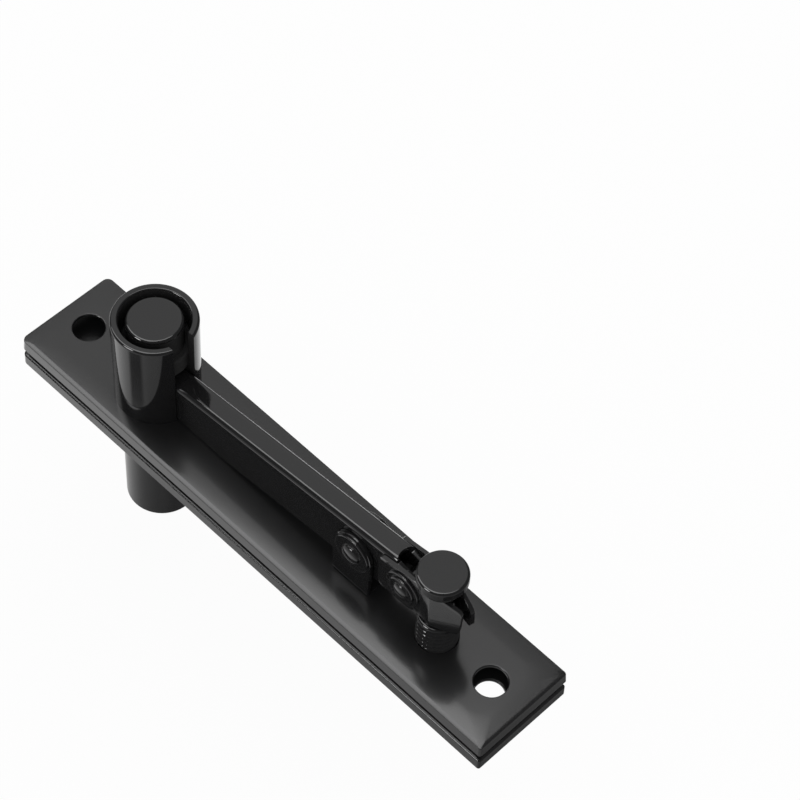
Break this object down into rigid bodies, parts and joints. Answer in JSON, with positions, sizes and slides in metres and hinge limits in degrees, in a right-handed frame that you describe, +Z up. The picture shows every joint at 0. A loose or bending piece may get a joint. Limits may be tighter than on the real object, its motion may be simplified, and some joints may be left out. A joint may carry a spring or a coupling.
{
  "type": "pivot hinge",
  "caption": "Retractable pivot hinge: frame plate with a sleeved pin lifted by a lever and adjusting screw, over a door plate with a receiving tube.",
  "frame": {"origin": "on the pivot axis, where the receiving tube meets the underside of the door plate", "axes": "+X along the plates from the pivot axis towards the adjusting screw, +Z up along the pivot axis"},
  "size_m": [0.1205, 0.022, 0.0536],
  "materials": {
    "black_paint": "glossy black stoved paint on steel",
    "steel": "bright turned steel",
    "bronze": "sintered bronze, oiled"
  },
  "bodies": {
    "frame": {"frame_plate": "black_paint", "guide_sleeve": "black_paint", "fulcrum_bracket": "black_paint", "fulcrum_rivet": "black_paint"},
    "pin": {"pivot_pin": "black_paint", "cross_pin": "steel"},
    "lever": {"lever_arm": "black_paint", "link_rivet": "black_paint", "link_washers": "black_paint"},
    "link": {"fork_link": "black_paint"},
    "thrust": {"thrust_washer": "steel"},
    "screw": {"adjusting_screw": "black_paint", "screw_knob": "black_paint"},
    "door": {"door_plate": "black_paint", "receiving_tube": "black_paint", "tube_bush": "bronze"}
  },
  "joints": [
    {"name": "screw_travel", "type": "slide", "parent": "frame", "child": "thrust", "axis": [0, 0, -1], "range_m": [0, 0.00228]},
    {"name": "screw_turn", "type": "hinge", "parent": "thrust", "child": "screw", "pos_m": [0.0728, 0, 0.0146], "axis": [0, 0, -1], "range_deg": [0, 656.91]},
    {"name": "lever_swing", "type": "hinge", "parent": "frame", "child": "lever", "pos_m": [0.0545, 0, 0.0164], "axis": [0, 1, 0], "range_deg": [0, 10.49]},
    {"name": "link_level", "type": "hinge", "parent": "lever", "child": "link", "pos_m": [0.0668, 0, 0.019], "axis": [0, 1, 0], "range_deg": [-10.49, 0]},
    {"name": "pin_lift", "type": "slide", "parent": "frame", "child": "pin", "axis": [0, 0, 1], "range_m": [0, 0.01]},
    {"name": "door_swing", "type": "hinge", "parent": "frame", "child": "door", "pos_m": [0, 0, 0.003], "axis": [0, 0, 1], "continuous": true}
  ],
  "couplings": [
    {"joint": "screw_travel", "follows": "pin_lift", "ratio": 0.22807},
    {"joint": "screw_turn", "follows": "pin_lift", "rad_per_m": 1146.4},
    {"joint": "lever_swing", "follows": "pin_lift", "rad_per_m": 18.291},
    {"joint": "link_level", "follows": "pin_lift", "rad_per_m": -18.291}
  ]
}
